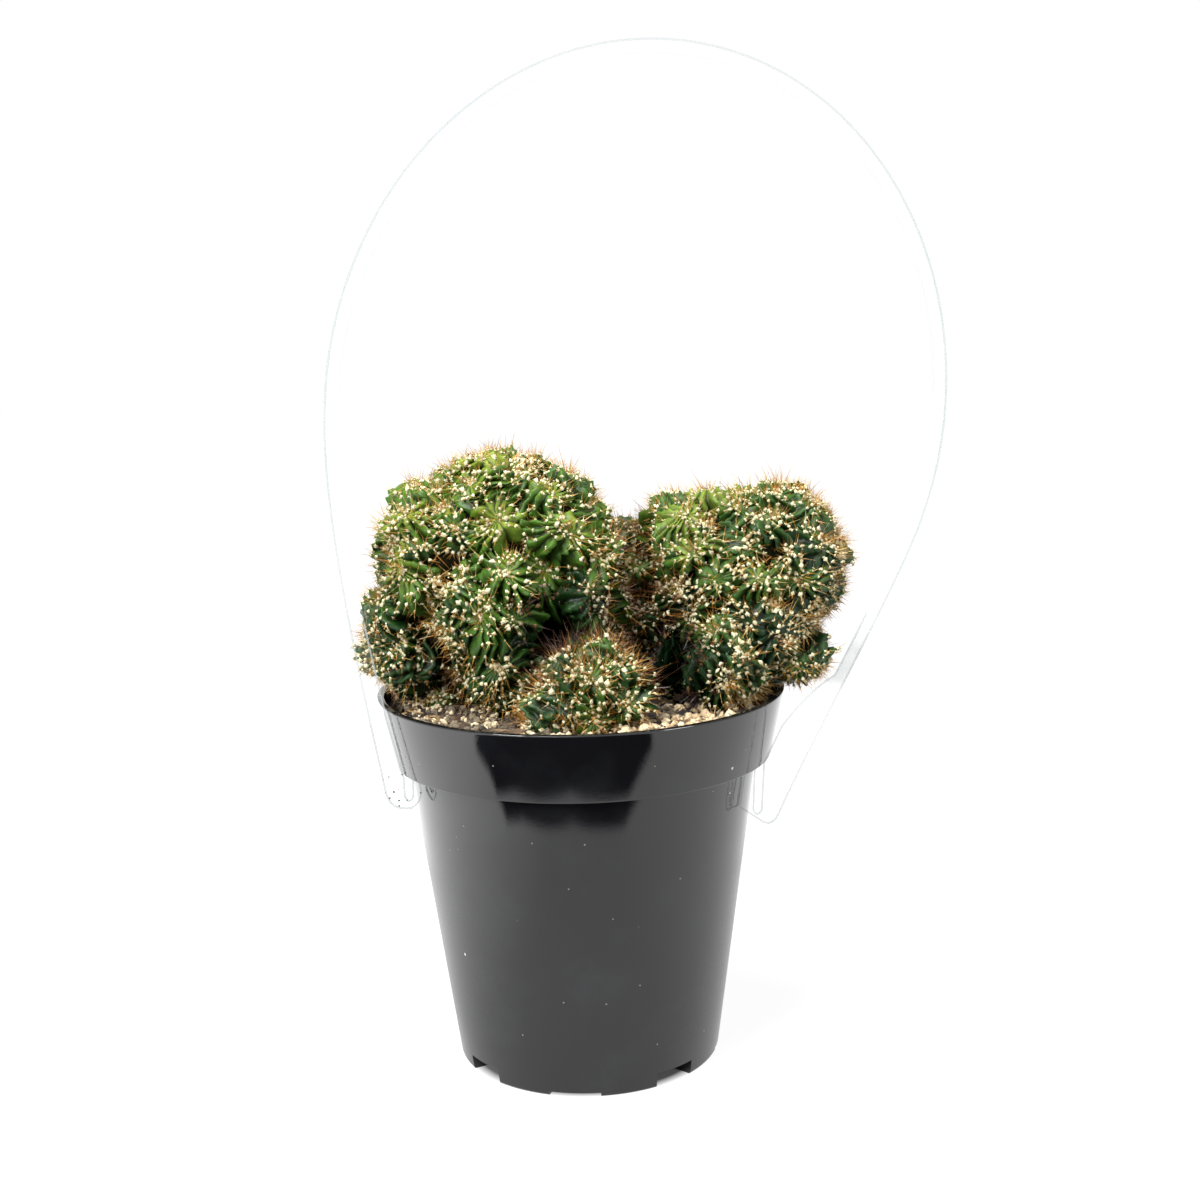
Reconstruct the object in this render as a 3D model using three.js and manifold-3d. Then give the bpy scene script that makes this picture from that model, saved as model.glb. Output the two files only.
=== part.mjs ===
// A knobbly, crested cereus of four grown stems in a round nursery pot with a clear carry hoop.
// Millimetres, +Z up. The origin is the middle of the pot's underside and the front faces -Y.

import * as THREE from "three";
import { mergeVertices } from "three/addons/utils/BufferGeometryUtils.js";
import Module from "manifold-3d";

const wasm = await Module();
wasm.setup();

// Pot: a thin moulded wall that widens upwards, with a deeper rim band hung outside it.
const potHeight = 111;
const rimRadius = 60;
const bandBottomRadius = 55.94;
const bandBottom = 91.45;
const bodyTopRadius = 51.63;
const baseRadius = 39.18;
const wallThickness = 1.2;
const lipWidth = 2.1;
const grooveTop = 101;
const floorThickness = 2.4;

// Underside: four drainage pockets a quarter turn apart, and a shallow notch in the foot between them.
const pocketBearing = -52;
const pocketWidth = 19;
const pocketHeight = 4.5;
const pocketInnerRadius = 27.6;
const pocketWall = 1.4;
const notchBearing = -7;
const notchWidth = 22;
const notchHeight = 1.3;
const notchInnerRadius = 34;
const drainInnerRadius = 30;
const drainOuterRadius = 35.5;
const drainWidth = 11;

// Potting mix: fills the pot to just under the lip and is a little higher in the middle.
const mixEdgeLevel = 107.2;
const mixMiddleLevel = 108.8;

// Carry hoop: one flat sheet, hooked over the rim band on both sides in a plane in front of the axis.
const hoopPlane = -24;
const hoopThickness = 0.5;
const hoopBand = 4;
const hoopCentre = { x: 17, z: 193.1 };
const hoopHalfWidth = 84.8;
const hoopHalfHeight = 97.8;
const hoopLean = THREE.MathUtils.degToRad(11.2);
const hoopArcStart = THREE.MathUtils.degToRad(-10);
const hoopArcEnd = THREE.MathUtils.degToRad(190);

// Clearance that pieces keep where they touch, and how finely round shapes are cut.
const gap = 0.3;
const roundSteps = 56;
const lobeStepsAround = 14;
const lobeStepsUp = 9;
const hoopCurveSteps = 16;

// Solids from three.js shapes, and back.

function solidFrom(geometry) {
  const bare = geometry.index ? geometry.toNonIndexed() : geometry.clone();
  bare.deleteAttribute("normal");
  bare.deleteAttribute("uv");
  const merged = mergeVertices(bare, 1e-4);
  const positions = merged.attributes.position.array;
  const corners = [];
  for (let i = 0; i < merged.index.count; i += 3) {
    const triangle = [0, 1, 2].map((k) => merged.index.getX(i + k));
    const whole = new Set(triangle).size === 3;
    if (whole) {
      corners.push(...triangle);
    }
  }
  const mesh = new wasm.Mesh({
    numProp: 3,
    vertProperties: new Float32Array(positions),
    triVerts: new Uint32Array(corners),
  });
  return new wasm.Manifold(mesh);
}

function meshFrom(solid, name, look) {
  const cut = solid.getMesh();
  const geometry = new THREE.BufferGeometry();
  geometry.setAttribute("position", new THREE.BufferAttribute(new Float32Array(cut.vertProperties), 3));
  geometry.setIndex(new THREE.BufferAttribute(new Uint32Array(cut.triVerts), 1));
  geometry.computeVertexNormals();
  const mesh = new THREE.Mesh(geometry, new THREE.MeshStandardMaterial(look));
  mesh.name = name;
  return mesh;
}

// A turned solid from a profile of [radius, height] pairs, listed upwards on the outside.
function turned(profile) {
  const points = profile.map(([radius, height]) => new THREE.Vector2(radius, height));
  const geometry = new THREE.LatheGeometry(points, roundSteps);
  geometry.rotateX(Math.PI / 2);
  return solidFrom(geometry);
}

// A block between two radii. Bearings are in degrees from the front, positive towards +X.
function ringSector(innerRadius, outerRadius, bearing, width, low, high) {
  const from = THREE.MathUtils.degToRad(bearing - 90 - width / 2);
  const to = THREE.MathUtils.degToRad(bearing - 90 + width / 2);
  const outline = new THREE.Shape();
  outline.absarc(0, 0, outerRadius, from, to, false);
  outline.absarc(0, 0, innerRadius, to, from, true);
  outline.closePath();
  const geometry = new THREE.ExtrudeGeometry(outline, {
    depth: high - low,
    bevelEnabled: false,
    curveSegments: 6,
  });
  geometry.translate(0, 0, low);
  return solidFrom(geometry);
}

function quarterTurns(firstBearing) {
  return [0, 1, 2, 3].map((turn) => firstBearing + 90 * turn);
}

// The pot's wall radii at a height.

function bodyRadius(height) {
  return baseRadius + ((bodyTopRadius - baseRadius) * height) / bandBottom;
}

function bandRadius(height) {
  const rise = (height - bandBottom) / (potHeight - bandBottom);
  return bandBottomRadius + (rimRadius - bandBottomRadius) * rise;
}

function makePot() {
  const shoulder = grooveTop + wallThickness;
  const bodyInside = (height) => bodyRadius(height) - wallThickness;
  const bandInside = (height) => bandRadius(height) - wallThickness;
  let pot = turned([
    [0, 0],
    [baseRadius - 0.8, 0],
    [bodyRadius(0.8), 0.8],
    [bodyRadius(grooveTop), grooveTop],
    [bandInside(grooveTop), grooveTop],
    [bandInside(bandBottom), bandBottom],
    [bandBottomRadius, bandBottom],
    [bandRadius(potHeight - 0.4), potHeight - 0.4],
    [rimRadius - 0.4, potHeight],
    [rimRadius - lipWidth, potHeight],
    [bandInside(shoulder) - 0.2, shoulder + 0.6],
    [bandInside(shoulder) - 1, shoulder],
    [bodyInside(shoulder), shoulder],
    [bodyInside(floorThickness), floorThickness],
    [0, floorThickness],
  ]);
  for (const bearing of quarterTurns(pocketBearing)) {
    const housing = ringSector(
      pocketInnerRadius - pocketWall,
      baseRadius - 0.6,
      bearing,
      pocketWidth + 5,
      floorThickness / 2,
      pocketHeight + pocketWall,
    );
    const hollow = ringSector(pocketInnerRadius, baseRadius + 5, bearing, pocketWidth, -1, pocketHeight);
    const drain = ringSector(drainInnerRadius, drainOuterRadius, bearing, drainWidth, 4, 8);
    pot = pot.add(housing).subtract(hollow).subtract(drain);
  }
  for (const bearing of quarterTurns(notchBearing)) {
    const notch = ringSector(notchInnerRadius, baseRadius + 5, bearing, notchWidth, -1, notchHeight);
    pot = pot.subtract(notch);
  }
  return pot;
}

// Everything that the pot's outside and its rim groove keep the hoop out of.
function potOutsideWithClearance() {
  const low = 50;
  const skirtLow = bandBottom - gap;
  const ceiling = grooveTop - gap;
  const clear = gap + 0.05;
  return turned([
    [0, low],
    [bodyRadius(low) + clear, low],
    [bodyRadius(ceiling) + clear, ceiling],
    [bandRadius(ceiling) - wallThickness - clear, ceiling],
    [bandRadius(skirtLow) - wallThickness - clear, skirtLow],
    [bandRadius(skirtLow) + clear, skirtLow],
    [rimRadius + clear, potHeight],
    [rimRadius + clear - 0.2, potHeight + gap],
    [0, potHeight + gap],
  ]);
}

// Each stem is a cluster of swollen lobes: middle (x, y, z) and half sizes (across, deep, tall).
// The last lobe of each is its neck, which is rooted in the mix.

const leftStemLobes = [
  { at: [-22.5, 2, 157.5], size: [27, 27, 23.5] },
  { at: [-42, -2, 150], size: [18.5, 23, 23.5] },
  { at: [-48.5, -3, 127], size: [15, 17.5, 15.5] },
  { at: [-22.5, -13, 135.5], size: [23, 22, 24] },
  { at: [1.5, -7, 141], size: [15, 19, 26] },
  { at: [-6, -4, 158], size: [15, 20, 18.5] },
  { at: [-17, -21, 121], size: [15, 14, 15] },
  { at: [-24, 22, 134], size: [26, 20, 25] },
  { at: [-56.2, -9, 130.5], size: [8.8, 12, 13.5] },
  { at: [-30, 2, 109], size: [22, 20, 13] },
];

const rightStemLobes = [
  { at: [58, 4, 146.5], size: [24, 26, 23] },
  { at: [37, 2, 145], size: [18, 24, 23] },
  { at: [28.5, 2, 153], size: [11, 16, 14] },
  { at: [48, -7, 130], size: [23, 21.5, 20] },
  { at: [38.5, -18, 121], size: [17, 16, 13.5] },
  { at: [46, 22, 133], size: [22, 18, 22] },
  { at: [63.8, -8, 122.5], size: [10.6, 13, 10.8] },
  { at: [37, 0, 109], size: [14, 18, 13] },
];

const middleStemLobes = [
  { at: [16, 10, 135], size: [14, 18, 24] },
  { at: [14, 30, 126], size: [13, 13, 17] },
  { at: [14.5, 14, 109], size: [9, 13, 13] },
];

const frontStemLobes = [
  { at: [2.5, -36, 117], size: [17.5, 13.5, 14.5] },
  { at: [-9, -37, 112], size: [9, 9, 9] },
  { at: [2.5, -35, 106], size: [11, 9, 9] },
];

function stem(lobes, growth) {
  const solids = lobes.map(({ at, size }) => {
    const geometry = new THREE.SphereGeometry(1, lobeStepsAround, lobeStepsUp);
    geometry.rotateX(Math.PI / 2);
    geometry.scale(size[0] + growth, size[1] + growth, size[2] + growth);
    geometry.translate(...at);
    return solidFrom(geometry);
  });
  return solids.reduce((whole, lobe) => whole.add(lobe));
}

// The part of the rim that an overhanging lobe rests on, with its clearance.
function rimSeat() {
  return turned([
    [rimRadius - lipWidth - 4, grooveTop],
    [rimRadius + gap, grooveTop],
    [rimRadius + gap, potHeight + gap],
    [rimRadius - lipWidth - gap - 0.1, potHeight + gap],
    [bandRadius(grooveTop) - wallThickness - 1.6, grooveTop + wallThickness],
    [rimRadius - lipWidth - 4, grooveTop],
  ]);
}

function makeMix(sockets) {
  const low = floorThickness + gap;
  const shoulder = grooveTop + wallThickness + gap;
  const inside = (height) => bodyRadius(height) - wallThickness - gap - 0.1;
  const rimInside = rimRadius - lipWidth - gap - 1.3;
  let mix = turned([
    [0, low],
    [inside(low), low],
    [inside(shoulder), shoulder],
    [rimInside - 0.8, shoulder + 0.6],
    [rimInside, mixEdgeLevel],
    [40, mixMiddleLevel - 0.6],
    [0, mixMiddleLevel],
  ]);
  for (const bearing of quarterTurns(pocketBearing)) {
    const housing = ringSector(
      pocketInnerRadius - pocketWall - gap,
      baseRadius + 2,
      bearing,
      pocketWidth + 6.4,
      0,
      pocketHeight + pocketWall + gap,
    );
    mix = mix.subtract(housing);
  }
  for (const socket of sockets) {
    mix = mix.subtract(socket);
  }
  return mix;
}

// The hoop's outline in its own plane, across and up. It starts at the right leg's inner prong.
function hoopOutline() {
  const outline = new THREE.Shape();

  // Right leg's rounded end, then the outer edge up into the arch.
  outline.moveTo(43.8, 81.5);
  outline.quadraticCurveTo(43.6, 79.6, 45.3, 78.8);
  outline.lineTo(50.4, 75.2);
  outline.quadraticCurveTo(53.6, 73, 55.6, 77);
  outline.bezierCurveTo(64, 96.5, 88.8, 141.3, ...arcPoint(hoopArcStart, 0));
  outline.absellipse(
    hoopCentre.x,
    hoopCentre.z,
    hoopHalfWidth,
    hoopHalfHeight,
    hoopArcStart,
    hoopArcEnd,
    false,
    -hoopLean,
  );

  // Down the left side to the left leg's rounded end and its prong inside the rim band.
  outline.bezierCurveTo(-70.2, 164, -60.9, 114, -56.4, 87);
  outline.quadraticCurveTo(-55.5, 82.2, -51.5, 81.8);
  outline.lineTo(-49.5, 81.8);
  outline.quadraticCurveTo(-46.6, 82.3, -45.8, 86.5);
  outline.lineTo(-47.2, 97.5);
  outline.quadraticCurveTo(-47.6, 100.2, -49.4, 100);
  outline.quadraticCurveTo(-50.6, 99.8, -50.2, 97.5);
  outline.lineTo(-48.5, 89.5);
  outline.lineTo(-48.7, 85.4);
  outline.quadraticCurveTo(-49.6, 83.4, -50.5, 85.4);
  outline.lineTo(-50.7, 91.3);
  outline.lineTo(-54.8, 108);

  // The inner edge, back over the arch.
  outline.bezierCurveTo(-56.8, 122, -66, 160, ...arcPoint(hoopArcEnd, hoopBand));
  outline.absellipse(
    hoopCentre.x,
    hoopCentre.z,
    hoopHalfWidth - hoopBand,
    hoopHalfHeight - hoopBand,
    hoopArcEnd,
    hoopArcStart,
    true,
    -hoopLean,
  );

  // The right leg's wide upper part, the slot that the rim band stands in, and the prong.
  outline.bezierCurveTo(87.1, 148.4, 78.5, 131, 71.4, 117.5);
  outline.quadraticCurveTo(64.5, 113.6, 56.5, 103.3);
  outline.lineTo(51.2, 92.5);
  outline.lineTo(50.4, 78.7);
  outline.quadraticCurveTo(49.4, 76.6, 48.5, 78.7);
  outline.lineTo(49, 90);
  outline.lineTo(50.2, 97.5);
  outline.quadraticCurveTo(50.4, 100, 49.2, 100);
  outline.quadraticCurveTo(47.6, 100, 47.2, 97.5);
  outline.lineTo(45.4, 87.6);
  outline.closePath();
  return outline;
}

// A point of the leaning arch, moved in by inset.
function arcPoint(angle, inset) {
  const across = (hoopHalfWidth - inset) * Math.cos(angle);
  const up = (hoopHalfHeight - inset) * Math.sin(angle);
  const x = hoopCentre.x + across * Math.cos(hoopLean) + up * Math.sin(hoopLean);
  const z = hoopCentre.z - across * Math.sin(hoopLean) + up * Math.cos(hoopLean);
  return [x, z];
}

function makeHoop() {
  const geometry = new THREE.ExtrudeGeometry(hoopOutline(), {
    depth: hoopThickness,
    bevelEnabled: false,
    curveSegments: hoopCurveSteps,
  });
  geometry.rotateX(Math.PI / 2);
  geometry.translate(0, hoopPlane + hoopThickness / 2, 0);
  return solidFrom(geometry).subtract(potOutsideWithClearance());
}

// Grown stems, each kept clear of the ones before it.

const seat = rimSeat();
const clearance = gap + 0.1;
const leftStem = stem(leftStemLobes, 0).subtract(seat);
const leftStemClear = stem(leftStemLobes, clearance);
const rightStem = stem(rightStemLobes, 0).subtract(seat).subtract(leftStemClear);
const rightStemClear = stem(rightStemLobes, clearance);
const middleStem = stem(middleStemLobes, 0).subtract(leftStemClear).subtract(rightStemClear);
const middleStemClear = stem(middleStemLobes, clearance);
const frontStem = stem(frontStemLobes, 0).subtract(leftStemClear).subtract(rightStemClear);
const frontStemClear = stem(frontStemLobes, clearance);
const mix = makeMix([leftStemClear, rightStemClear, middleStemClear, frontStemClear]);

const pottedCereus = new THREE.Group();
pottedCereus.name = "potted_cereus";
pottedCereus.add(
  meshFrom(makePot(), "nursery_pot", { color: 0x17181b, roughness: 0.28, metalness: 0 }),
  meshFrom(mix, "potting_mix", { color: 0x6b5238, roughness: 0.95, metalness: 0 }),
  meshFrom(leftStem, "stem_left", { color: 0x3f6b2b, roughness: 0.55, metalness: 0 }),
  meshFrom(rightStem, "stem_right", { color: 0x3c6a33, roughness: 0.55, metalness: 0 }),
  meshFrom(middleStem, "stem_middle", { color: 0x35602c, roughness: 0.55, metalness: 0 }),
  meshFrom(frontStem, "stem_front", { color: 0x4a7a34, roughness: 0.55, metalness: 0 }),
  meshFrom(makeHoop(), "carry_hoop", {
    color: 0xf2f5f5,
    roughness: 0.06,
    metalness: 0,
    transparent: true,
    opacity: 0.2,
  }),
);

export default pottedCereus;
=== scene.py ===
"""A potted cereus with knobbly, crested growth, in a black nursery pot with a clear carry hoop."""

import math

import bmesh
import bpy
import numpy as np
from mathutils import Matrix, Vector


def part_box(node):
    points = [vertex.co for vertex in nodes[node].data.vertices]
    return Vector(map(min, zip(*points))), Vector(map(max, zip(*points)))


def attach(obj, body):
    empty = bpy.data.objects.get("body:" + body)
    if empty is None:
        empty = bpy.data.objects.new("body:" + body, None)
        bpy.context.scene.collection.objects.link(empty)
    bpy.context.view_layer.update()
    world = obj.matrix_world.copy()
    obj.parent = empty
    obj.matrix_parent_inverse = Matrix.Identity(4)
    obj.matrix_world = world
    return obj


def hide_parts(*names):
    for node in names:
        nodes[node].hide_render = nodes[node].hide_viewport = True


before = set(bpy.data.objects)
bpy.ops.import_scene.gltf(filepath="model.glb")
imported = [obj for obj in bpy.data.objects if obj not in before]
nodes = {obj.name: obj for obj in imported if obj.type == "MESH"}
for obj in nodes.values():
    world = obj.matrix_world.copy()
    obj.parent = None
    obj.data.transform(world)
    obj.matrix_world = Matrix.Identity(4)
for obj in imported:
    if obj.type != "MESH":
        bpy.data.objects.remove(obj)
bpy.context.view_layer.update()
mm = 0.001


# Camera
# A lens of about 49 mm stands 47 cm in front of the pot's axis, a little above the plants,
# looks down ten degrees and is tipped slightly to one side.

camera_place = (0.0, -473 * mm, 217.4 * mm)
camera_turn = math.radians(0.76)
camera_dip = math.radians(9.71)
camera_tip = math.radians(-1.40)
camera_lens = 49.04

ahead = np.array([
    math.sin(camera_turn) * math.cos(camera_dip),
    math.cos(camera_turn) * math.cos(camera_dip),
    -math.sin(camera_dip),
])
level = np.array([math.cos(camera_turn), -math.sin(camera_turn), 0.0])
upright = np.cross(level, ahead)
across = level * math.cos(camera_tip) + upright * math.sin(camera_tip)
above = upright * math.cos(camera_tip) - level * math.sin(camera_tip)

camera_data = bpy.data.cameras.new("camera")
camera_data.lens = camera_lens
camera_data.sensor_width = 36
camera_data.clip_start = 0.01
camera = bpy.data.objects.new("camera", camera_data)
bpy.context.scene.collection.objects.link(camera)
turned = Matrix([list(row) for row in np.stack([across, above, -ahead], axis=1)]).to_4x4()
camera.matrix_world = Matrix.Translation(camera_place) @ turned
bpy.context.scene.camera = camera


# Nursery pot
# One thin injection moulding in black polypropylene: a tapered body, a shoulder, and a rim whose
# outer band hangs down over the body. The foot has four open drainage pockets and shallow notches.

pot_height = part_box("nursery_pot")[1][2]
rim_radius = 60 * mm
band_low = 91.45 * mm
band_low_radius = 55.94 * mm
body_slope = (51.63 - 39.18) / 91.45
base_radius = 39.18 * mm
wall = 1.2 * mm
lip_width = 2.1 * mm
groove_top = 101 * mm
floor_thickness = 2.4 * mm
pocket_bearings = [-52, 38, 128, 218]
notch_bearings = [-7, 83, 173, 263]


def put_mesh(name, points, faces, material, smooth=True, attributes=None):
    """A mesh object from an (n, 3) array of points and an (m, 3) or (m, 4) array of corner numbers.
    attributes holds one number per point under each name."""
    mesh = bpy.data.meshes.new(name)
    corners = faces.shape[1]
    mesh.vertices.add(len(points))
    mesh.vertices.foreach_set("co", np.asarray(points, np.float32).ravel())
    mesh.loops.add(faces.size)
    mesh.loops.foreach_set("vertex_index", np.asarray(faces, np.int32).ravel())
    mesh.polygons.add(len(faces))
    mesh.polygons.foreach_set("loop_start", np.arange(0, faces.size, corners, dtype=np.int32))
    mesh.update(calc_edges=True)
    mesh.validate()
    mesh.polygons.foreach_set("use_smooth", np.full(len(mesh.polygons), smooth))
    for key, values in (attributes or {}).items():
        layer = mesh.attributes.new(key, "FLOAT", "POINT")
        layer.data.foreach_set("value", np.asarray(values, np.float32).ravel())
    mesh.materials.append(material)
    piece = bpy.data.objects.new(name, mesh)
    bpy.context.scene.collection.objects.link(piece)
    return piece


def rounded(profile, steps=5):
    """Replaces each corner (radius, height, fillet) by a short curve: the quadratic Bezier between
    the two points that lie one fillet away from the corner along its edges. A guard point 0.15 mm
    beyond each end keeps the shading of the faces beside it flat."""
    points = np.array([p[:2] for p in profile])
    fillets = np.array([p[2] for p in profile])
    out = [points[:1]]
    share = np.linspace(0, 1, steps)[:, None]
    for i in range(1, len(points) - 1):
        here = points[i]
        back = (points[i - 1] - here) / np.linalg.norm(points[i - 1] - here)
        on = (points[i + 1] - here) / np.linalg.norm(points[i + 1] - here)
        start, end = here + back * fillets[i], here + on * fillets[i]
        out.append((start + back * 0.15 * mm)[None])
        out.append((1 - share) ** 2 * start + 2 * share * (1 - share) * here + share**2 * end)
        out.append((end + on * 0.15 * mm)[None])
    out.append(points[-1:])
    return np.concatenate(out)


def stretched(profile, longest):
    """Adds points along straight runs so that none is longer than longest."""
    out = [profile[:1]]
    for a, b in zip(profile[:-1], profile[1:]):
        count = max(1, int(np.ceil(np.linalg.norm(b - a) / longest)))
        out.append(a + (b - a) * (np.arange(1, count + 1) / count)[:, None])
    return np.concatenate(out)


def closed_rings(ring_count, steps):
    """Triangles that join rings of points and close them with a fan at each end. Point j of ring i
    has the number i * steps + j, and the two ends' points come after the last ring."""
    here = np.arange(steps)
    following = (here + 1) % steps
    row = np.arange(ring_count - 1)[:, None] * steps
    a, b = row + here, row + following
    last = (ring_count - 1) * steps
    end = np.full(steps, ring_count * steps)
    return np.concatenate([
        np.stack([a, a + steps, b + steps], axis=-1).reshape(-1, 3),
        np.stack([a, b + steps, b], axis=-1).reshape(-1, 3),
        np.stack([end, here, following], axis=-1),
        np.stack([end + 1, last + following, last + here], axis=-1),
    ])


def turned_surface(profile, steps):
    """A profile that starts and ends on the axis, swept once round Z: ring i is the circle of radius
    profile[i, 0] at height profile[i, 1]."""
    inner = profile[1:-1]
    angle = 2 * np.pi * np.arange(steps) / steps
    rings = np.stack([
        inner[:, :1] * np.cos(angle),
        inner[:, :1] * np.sin(angle),
        np.repeat(inner[:, 1:2], steps, axis=1),
    ], axis=-1).reshape(-1, 3)
    ends = np.array([[0, 0, profile[0, 1]], [0, 0, profile[-1, 1]]])
    return np.concatenate([rings, ends]), closed_rings(len(inner), steps)[:, ::-1]


def sector_block(inner_radius, outer_radius, bearing, width, low, high, steps=12):
    """A block between two radii and two heights. Bearings are in degrees from the front (-Y),
    positive towards +X: its cross-section's four corners are swept along the arc, then capped."""
    angle = np.radians(np.linspace(bearing - width / 2, bearing + width / 2, steps + 1) - 90)
    corners = np.array([[inner_radius, low], [outer_radius, low], [outer_radius, high], [inner_radius, high]])
    points = np.stack([
        corners[:, 0] * np.cos(angle)[:, None],
        corners[:, 0] * np.sin(angle)[:, None],
        np.tile(corners[:, 1], (steps + 1, 1)),
    ], axis=-1).reshape(-1, 3)
    side = np.arange(4)
    station = np.arange(steps)[:, None] * 4
    a, b = station + side, station + (side + 1) % 4
    walls = np.stack([a, a + 4, b + 4, b], axis=-1).reshape(-1, 4)
    caps = np.array([[0, 1, 2, 3], [3 + 4 * steps, 2 + 4 * steps, 1 + 4 * steps, 4 * steps]])
    return points, np.concatenate([walls, caps])


def joined(blocks):
    """Several (points, faces) pairs as one, with the corner numbers moved on."""
    counts = np.cumsum([0] + [len(p) for p, _ in blocks[:-1]])
    faces = [f + count for (_, f), count in zip(blocks, counts)]
    return np.concatenate([p for p, _ in blocks]), np.concatenate(faces)


def faced_outwards(piece):
    """Turns all of a closed piece's faces outwards."""
    bm = bmesh.new()
    bm.from_mesh(piece.data)
    bmesh.ops.recalc_face_normals(bm, faces=bm.faces)
    bm.to_mesh(piece.data)
    bm.free()


def boolean(piece, block, operation):
    """Joins or cuts the piece with a block of (points, faces), and applies it."""
    tool = put_mesh("tool", *block, piece.data.materials[0], smooth=False)
    faced_outwards(tool)
    change = piece.modifiers.new("change", "BOOLEAN")
    change.operation = operation
    change.object = tool
    change.solver = "EXACT"
    deps = bpy.context.evaluated_depsgraph_get()
    result = bpy.data.meshes.new_from_object(piece.evaluated_get(deps))
    piece.modifiers.clear()
    piece.data = result
    bpy.data.objects.remove(tool)


def add_node(tree, kind, **settings):
    """A node of that kind with its properties set."""
    node = tree.nodes.new(kind)
    for key, value in settings.items():
        setattr(node, key, value)
    return node


def plug(tree, value, socket):
    """Feeds a socket from another one, or with a number or an (r, g, b)."""
    if isinstance(value, bpy.types.NodeSocket):
        tree.links.new(value, socket)
    elif isinstance(value, tuple):
        socket.default_value = (*value, 1)
    else:
        socket.default_value = value


def new_material(name):
    """A material, its node tree, its Principled shader and its Object coordinates in metres."""
    material = bpy.data.materials.new(name)
    material.use_nodes = True
    tree = material.node_tree
    place = add_node(tree, "ShaderNodeTexCoord").outputs["Object"]
    return material, tree, tree.nodes["Principled BSDF"], place


def dress(tree, shader, values):
    """Feeds the shader's inputs by their names."""
    for name, value in values.items():
        plug(tree, value, shader.inputs[name])


def attribute(tree, name):
    """A number stored on the mesh's points."""
    return add_node(tree, "ShaderNodeAttribute", attribute_name=name).outputs["Fac"]


def parted(tree, place):
    """The X, Y and Z of a place."""
    node = add_node(tree, "ShaderNodeSeparateXYZ")
    tree.links.new(place, node.inputs[0])
    return node.outputs


def distance_from(tree, place, point):
    """How far a place is from a fixed point."""
    node = add_node(tree, "ShaderNodeVectorMath", operation="DISTANCE")
    tree.links.new(place, node.inputs[0])
    node.inputs[1].default_value = point
    return node.outputs["Value"]


def worked(tree, operation, *values, clamp=False):
    """A math node's result from sockets and numbers."""
    node = add_node(tree, "ShaderNodeMath", operation=operation, use_clamp=clamp)
    for value, socket in zip(values, node.inputs):
        plug(tree, value, socket)
    return node.outputs[0]


def noise(tree, place, scale, detail):
    """Noise from 0 to 1 with about scale lumps a metre."""
    node = add_node(tree, "ShaderNodeTexNoise")
    for value, name in ((place, "Vector"), (scale, "Scale"), (detail, "Detail"), (0.55, "Roughness")):
        plug(tree, value, node.inputs[name])
    return node.outputs["Fac"]


def spread(tree, value, low, high, out_low=0.0, out_high=1.0):
    """Maps low..high to out_low..out_high, clamped."""
    node = add_node(tree, "ShaderNodeMapRange")
    tree.links.new(value, node.inputs["Value"])
    ends = (("From Min", low), ("From Max", high), ("To Min", out_low), ("To Max", out_high))
    for name, number in ends:
        node.inputs[name].default_value = number
    return node.outputs["Result"]


def blended(tree, factor, first, second, mode="MIX"):
    """A colour between two others."""
    node = add_node(tree, "ShaderNodeMix", data_type="RGBA", blend_type=mode)
    for value, number in ((factor, 0), (first, 6), (second, 7)):
        plug(tree, value, node.inputs[number])
    return node.outputs[2]


def darkened(tree, base, *shades):
    """A colour times each of the shades."""
    for shade in shades:
        base = blended(tree, 1.0, base, shade, "MULTIPLY")
    return base


def bumped(tree, shader, height, strength, distance):
    """Bump from a height, into the shader's normal."""
    node = add_node(tree, "ShaderNodeBump")
    node.inputs["Strength"].default_value = strength
    node.inputs["Distance"].default_value = distance
    tree.links.new(height, node.inputs["Height"])
    tree.links.new(node.outputs["Normal"], shader.inputs["Normal"])


def speck_group():
    """Scattered specks: a mask that is 1 inside small round spots, one in each cell that noise picks."""
    group = bpy.data.node_groups.new("specks", "ShaderNodeTree")
    group.interface.new_socket("Vector", in_out="INPUT", socket_type="NodeSocketVector")
    for name in ("Density", "Size", "Rarity"):
        group.interface.new_socket(name, in_out="INPUT", socket_type="NodeSocketFloat")
    group.interface.new_socket("Mask", in_out="OUTPUT", socket_type="NodeSocketFloat")
    given = add_node(group, "NodeGroupInput").outputs
    cells = add_node(group, "ShaderNodeTexVoronoi")
    group.links.new(given["Vector"], cells.inputs["Vector"])
    group.links.new(given["Density"], cells.inputs["Scale"])
    parts = add_node(group, "ShaderNodeSeparateColor")
    group.links.new(cells.outputs["Color"], parts.inputs["Color"])
    near = worked(group, "LESS_THAN", cells.outputs["Distance"], given["Size"])
    picked = worked(group, "GREATER_THAN", parts.outputs["Red"], given["Rarity"])
    result = add_node(group, "NodeGroupOutput")
    group.links.new(worked(group, "MULTIPLY", near, picked), result.inputs["Mask"])
    return group


specks = speck_group()


def specked(tree, place, density, size, rarity):
    """The speck group placed in a material with its own values."""
    node = add_node(tree, "ShaderNodeGroup", node_tree=specks)
    for value, name in ((place, "Vector"), (density, "Density"), (size, "Size"), (rarity, "Rarity")):
        plug(tree, value, node.inputs[name])
    return node.outputs["Mask"]


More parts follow.
